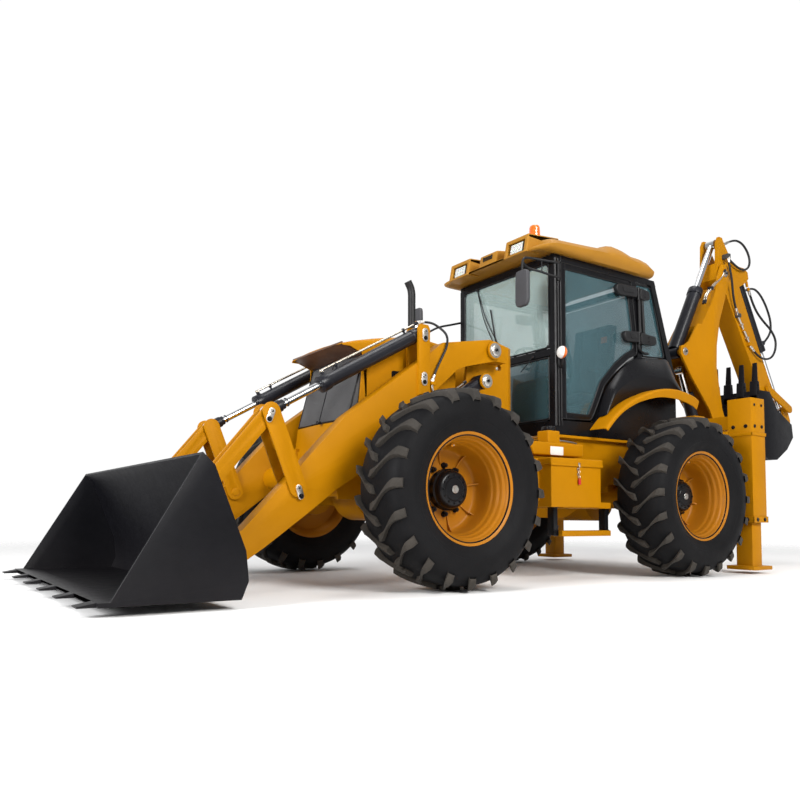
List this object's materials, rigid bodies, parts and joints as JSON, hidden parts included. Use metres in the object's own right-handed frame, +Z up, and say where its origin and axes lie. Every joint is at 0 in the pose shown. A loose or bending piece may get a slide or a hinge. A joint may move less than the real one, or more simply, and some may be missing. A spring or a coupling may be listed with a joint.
{
  "type": "backhoe loader",
  "caption": "Backhoe loader with a jointed frame, a loader bucket on lifting arms in front, a cab, and a side-shifting excavator arm with stabilizer legs behind.",
  "frame": {"origin": "on the ground under the middle of the whole machine, buckets included", "axes": "+X forward, +Y to the machine's left, +Z up"},
  "size_m": [7.06, 2.26, 3.0692],
  "materials": {
    "black_paint": "satin",
    "cast_metal": "rough",
    "charcoal_paint": "satin",
    "chrome": "polished",
    "glass": "gloss",
    "hose_rubber": "matte",
    "orange_lens": "gloss",
    "roof_plastic": "matte",
    "seat_fabric": "woven",
    "tyre": "matte",
    "yellow_paint": "satin"
  },
  "bodies": {
    "chassis": {"rear_frame": "yellow_paint", "rear_axle": "yellow_paint", "cab_frame": "black_paint", "cab_windows": "glass", "cab_roof": "roof_plastic", "beacon": "orange_lens", "operator_seat": "seat_fabric", "steering_console": "black_paint", "mirrors": "black_paint", "rear_fenders": "yellow_paint", "quarter_panels": "black_paint", "side_boxes": "yellow_paint", "stabilizer_frame": "yellow_paint"},
    "left_door": {"left_door": "black_paint"},
    "right_door": {"right_door": "black_paint"},
    "rear_left_wheel": {"rear_left_tyre": "tyre", "rear_left_rim": "yellow_paint"},
    "rear_right_wheel": {"rear_right_tyre": "tyre", "rear_right_rim": "yellow_paint"},
    "front_frame": {"front_frame": "yellow_paint", "engine_block": "cast_metal", "grille": "black_paint", "front_axle": "yellow_paint", "exhaust_pipe": "black_paint"},
    "hood": {"hood": "yellow_paint"},
    "front_left_wheel": {"front_left_tyre": "tyre", "front_left_rim": "yellow_paint"},
    "front_right_wheel": {"front_right_tyre": "tyre", "front_right_rim": "yellow_paint"},
    "steering_barrel": {"steering_barrel": "charcoal_paint"},
    "steering_rod": {"steering_rod": "chrome"},
    "loader_arms": {"loader_arms": "yellow_paint", "left_arm_hose": "hose_rubber", "right_arm_hose": "hose_rubber"},
    "lift_barrels": {"lift_barrels": "yellow_paint"},
    "lift_rods": {"lift_rods": "chrome"},
    "tilt_barrels": {"tilt_barrels": "charcoal_paint"},
    "tilt_rods": {"tilt_rods": "chrome"},
    "bucket_levers": {"bucket_levers": "yellow_paint"},
    "bucket_links": {"bucket_links": "yellow_paint"},
    "loader_bucket": {"loader_bucket": "charcoal_paint"},
    "left_stabilizer": {"left_stabilizer": "yellow_paint"},
    "right_stabilizer": {"right_stabilizer": "yellow_paint"},
    "side_shift_carriage": {"side_shift_carriage": "yellow_paint"},
    "kingpost": {"kingpost": "yellow_paint"},
    "boom": {"boom": "yellow_paint"},
    "boom_ram_barrel": {"boom_ram_barrel": "charcoal_paint"},
    "boom_ram_rod": {"boom_ram_rod": "chrome"},
    "dipper": {"dipper": "yellow_paint", "dipper_top_hose": "hose_rubber", "dipper_side_hose": "hose_rubber", "dipper_loop_hose": "hose_rubber"},
    "dipper_ram_barrel": {"dipper_ram_barrel": "charcoal_paint"},
    "dipper_ram_rod": {"dipper_ram_rod": "chrome"},
    "bucket_ram_barrel": {"bucket_ram_barrel": "charcoal_paint", "ram_hose": "hose_rubber"},
    "bucket_ram_rod": {"bucket_ram_rod": "chrome"},
    "dipper_lever": {"dipper_lever": "yellow_paint"},
    "dipper_link": {"dipper_link": "yellow_paint"},
    "backhoe_bucket": {"backhoe_bucket": "charcoal_paint"}
  },
  "joints": [
    {"name": "frame_steering", "type": "hinge", "parent": "chassis", "child": "front_frame", "pos_m": [0.23, 0, 0.7], "axis": [0, 0, 1], "range_deg": [-36, 36]},
    {"name": "rear_left_wheel_spin", "type": "hinge", "parent": "chassis", "child": "rear_left_wheel", "pos_m": [-0.9, 0.923, 0.595], "axis": [0, 1, 0], "continuous": true},
    {"name": "rear_right_wheel_spin", "type": "hinge", "parent": "chassis", "child": "rear_right_wheel", "pos_m": [-0.9, -0.923, 0.595], "axis": [0, 1, 0], "continuous": true},
    {"name": "front_left_wheel_spin", "type": "hinge", "parent": "front_frame", "child": "front_left_wheel", "pos_m": [1.36, 0.923, 0.595], "axis": [0, 1, 0], "continuous": true},
    {"name": "front_right_wheel_spin", "type": "hinge", "parent": "front_frame", "child": "front_right_wheel", "pos_m": [1.36, -0.923, 0.595], "axis": [0, 1, 0], "continuous": true},
    {"name": "hood_lid", "type": "hinge", "parent": "front_frame", "child": "hood", "pos_m": [0.828, 0, 1.634], "axis": [0, -1, 0], "range_deg": [0, 50]},
    {"name": "left_door_hinge", "type": "hinge", "parent": "chassis", "child": "left_door", "pos_m": [-0.94, 0.535, 1.6], "axis": [0, 0, 1], "range_deg": [0, 70]},
    {"name": "right_door_hinge", "type": "hinge", "parent": "chassis", "child": "right_door", "pos_m": [-0.94, -0.535, 1.6], "axis": [0, 0, -1], "range_deg": [0, 70]},
    {"name": "steering_barrel_swing", "type": "hinge", "parent": "chassis", "child": "steering_barrel", "pos_m": [-0.4, 0.3, 0.72], "axis": [0, 0, 1], "range_deg": [-11.5, 11.5]},
    {"name": "steering_rod_slide", "type": "slide", "parent": "steering_barrel", "child": "steering_rod", "axis": [0.9984, 0.0571, 0], "range_m": [-0.215, 0.215]},
    {"name": "arm_lift", "type": "hinge", "parent": "front_frame", "child": "loader_arms", "pos_m": [0.625, 0, 1.594], "axis": [0, -1, 0], "range_deg": [0, 77]},
    {"name": "lift_barrel_swing", "type": "hinge", "parent": "front_frame", "child": "lift_barrels", "pos_m": [0.705, 0, 1.37], "axis": [0, -1, 0], "range_deg": [-1, 82]},
    {"name": "lift_rod_slide", "type": "slide", "parent": "lift_barrels", "child": "lift_rods", "axis": [0.849, 0, -0.5284], "range_m": [-0.01, 0.3]},
    {"name": "bucket_tilt", "type": "hinge", "parent": "loader_arms", "child": "loader_bucket", "pos_m": [2.66, 0, 0.2], "axis": [0, 1, 0], "range_deg": [-38, 95]},
    {"name": "lever_swing", "type": "hinge", "parent": "loader_arms", "child": "bucket_levers", "pos_m": [2.175, 0, 0.595], "axis": [0, 1, 0], "range_deg": [-28, 68]},
    {"name": "link_swing", "type": "hinge", "parent": "bucket_levers", "child": "bucket_links", "pos_m": [2.352, 0, 1.03], "axis": [0, 1, 0], "range_deg": [-64, 27]},
    {"name": "tilt_barrel_swing", "type": "hinge", "parent": "loader_arms", "child": "tilt_barrels", "pos_m": [1.245, 0, 1.643], "axis": [0, 1, 0], "range_deg": [-3, 6]},
    {"name": "tilt_rod_slide", "type": "slide", "parent": "tilt_barrels", "child": "tilt_rods", "axis": [0.8748, 0, -0.4844], "range_m": [-0.2, 0.49]},
    {"name": "left_stabilizer_slide", "type": "slide", "parent": "chassis", "child": "left_stabilizer", "axis": [0, 0, -1], "range_m": [-0.3, 0.35]},
    {"name": "right_stabilizer_slide", "type": "slide", "parent": "chassis", "child": "right_stabilizer", "axis": [0, 0, -1], "range_m": [-0.3, 0.35]},
    {"name": "side_shift", "type": "slide", "parent": "chassis", "child": "side_shift_carriage", "axis": [0, 1, 0], "range_m": [-0.84, 0.16]},
    {"name": "backhoe_swing", "type": "hinge", "parent": "side_shift_carriage", "child": "kingpost", "pos_m": [-2.16, 0.34, 0.75], "axis": [0, 0, 1], "range_deg": [-90, 90]},
    {"name": "boom_lift", "type": "hinge", "parent": "kingpost", "child": "boom", "pos_m": [-2.34, 0.34, 1.01], "axis": [0, -1, 0], "range_deg": [0, 90]},
    {"name": "boom_ram_swing", "type": "hinge", "parent": "kingpost", "child": "boom_ram_barrel", "pos_m": [-2.08, 0.34, 1.03], "axis": [0, -1, 0], "range_deg": [-1, 88]},
    {"name": "boom_ram_slide", "type": "slide", "parent": "boom_ram_barrel", "child": "boom_ram_rod", "axis": [0.3736, 0, 0.9276], "range_m": [-0.01, 0.365]},
    {"name": "dipper_swing", "type": "hinge", "parent": "boom", "child": "dipper", "pos_m": [-2.327, 0.34, 2.694], "axis": [0, 1, 0], "range_deg": [0, 110]},
    {"name": "dipper_ram_swing", "type": "hinge", "parent": "boom", "child": "dipper_ram_barrel", "pos_m": [-1.687, 0.34, 1.887], "axis": [0, 1, 0], "range_deg": [-1, 8]},
    {"name": "dipper_ram_slide", "type": "slide", "parent": "dipper_ram_barrel", "child": "dipper_ram_rod", "axis": [-0.4923, 0, 0.8704], "range_m": [-0.5, 0.01]},
    {"name": "backhoe_bucket_curl", "type": "hinge", "parent": "dipper", "child": "backhoe_bucket", "pos_m": [-3.12, 0.34, 1.45], "axis": [0, 1, 0], "range_deg": [0, 140]},
    {"name": "dipper_lever_swing", "type": "hinge", "parent": "dipper", "child": "dipper_lever", "pos_m": [-3.04, 0.34, 1.69], "axis": [0, 1, 0], "range_deg": [-1, 95]},
    {"name": "dipper_link_swing", "type": "hinge", "parent": "dipper_lever", "child": "dipper_link", "pos_m": [-3.427, 0.34, 1.52], "axis": [0, 1, 0], "range_deg": [-45, 1]},
    {"name": "bucket_ram_swing", "type": "hinge", "parent": "dipper", "child": "bucket_ram_barrel", "pos_m": [-2.71, 0.34, 2.755], "axis": [0, 1, 0], "range_deg": [-1, 8]},
    {"name": "bucket_ram_slide", "type": "slide", "parent": "bucket_ram_barrel", "child": "bucket_ram_rod", "axis": [-0.5021, 0, -0.8648], "range_m": [-0.61, 0.01]}
  ],
  "couplings": [
    {"joint": "steering_barrel_swing", "follows": "frame_steering", "ratio": 0.31},
    {"joint": "steering_rod_slide", "follows": "frame_steering", "m_per_rad": -0.331},
    {"joint": "lift_barrel_swing", "follows": "arm_lift", "ratio": 1.044},
    {"joint": "lift_rod_slide", "follows": "arm_lift", "m_per_rad": 0.2165},
    {"joint": "lever_swing", "follows": "bucket_tilt", "ratio": 0.7},
    {"joint": "link_swing", "follows": "bucket_tilt", "ratio": -0.66},
    {"joint": "tilt_barrel_swing", "follows": "bucket_tilt", "ratio": 0.05},
    {"joint": "tilt_rod_slide", "follows": "bucket_tilt", "m_per_rad": 0.287},
    {"joint": "boom_ram_swing", "follows": "boom_lift", "ratio": 0.96},
    {"joint": "boom_ram_slide", "follows": "boom_lift", "m_per_rad": 0.2264},
    {"joint": "dipper_ram_swing", "follows": "dipper_swing", "ratio": 0.055},
    {"joint": "dipper_ram_slide", "follows": "dipper_swing", "m_per_rad": -0.254},
    {"joint": "dipper_lever_swing", "follows": "backhoe_bucket_curl", "ratio": 0.65},
    {"joint": "dipper_link_swing", "follows": "backhoe_bucket_curl", "ratio": -0.31},
    {"joint": "bucket_ram_swing", "follows": "backhoe_bucket_curl", "ratio": 0.05},
    {"joint": "bucket_ram_slide", "follows": "backhoe_bucket_curl", "m_per_rad": -0.2444}
  ]
}
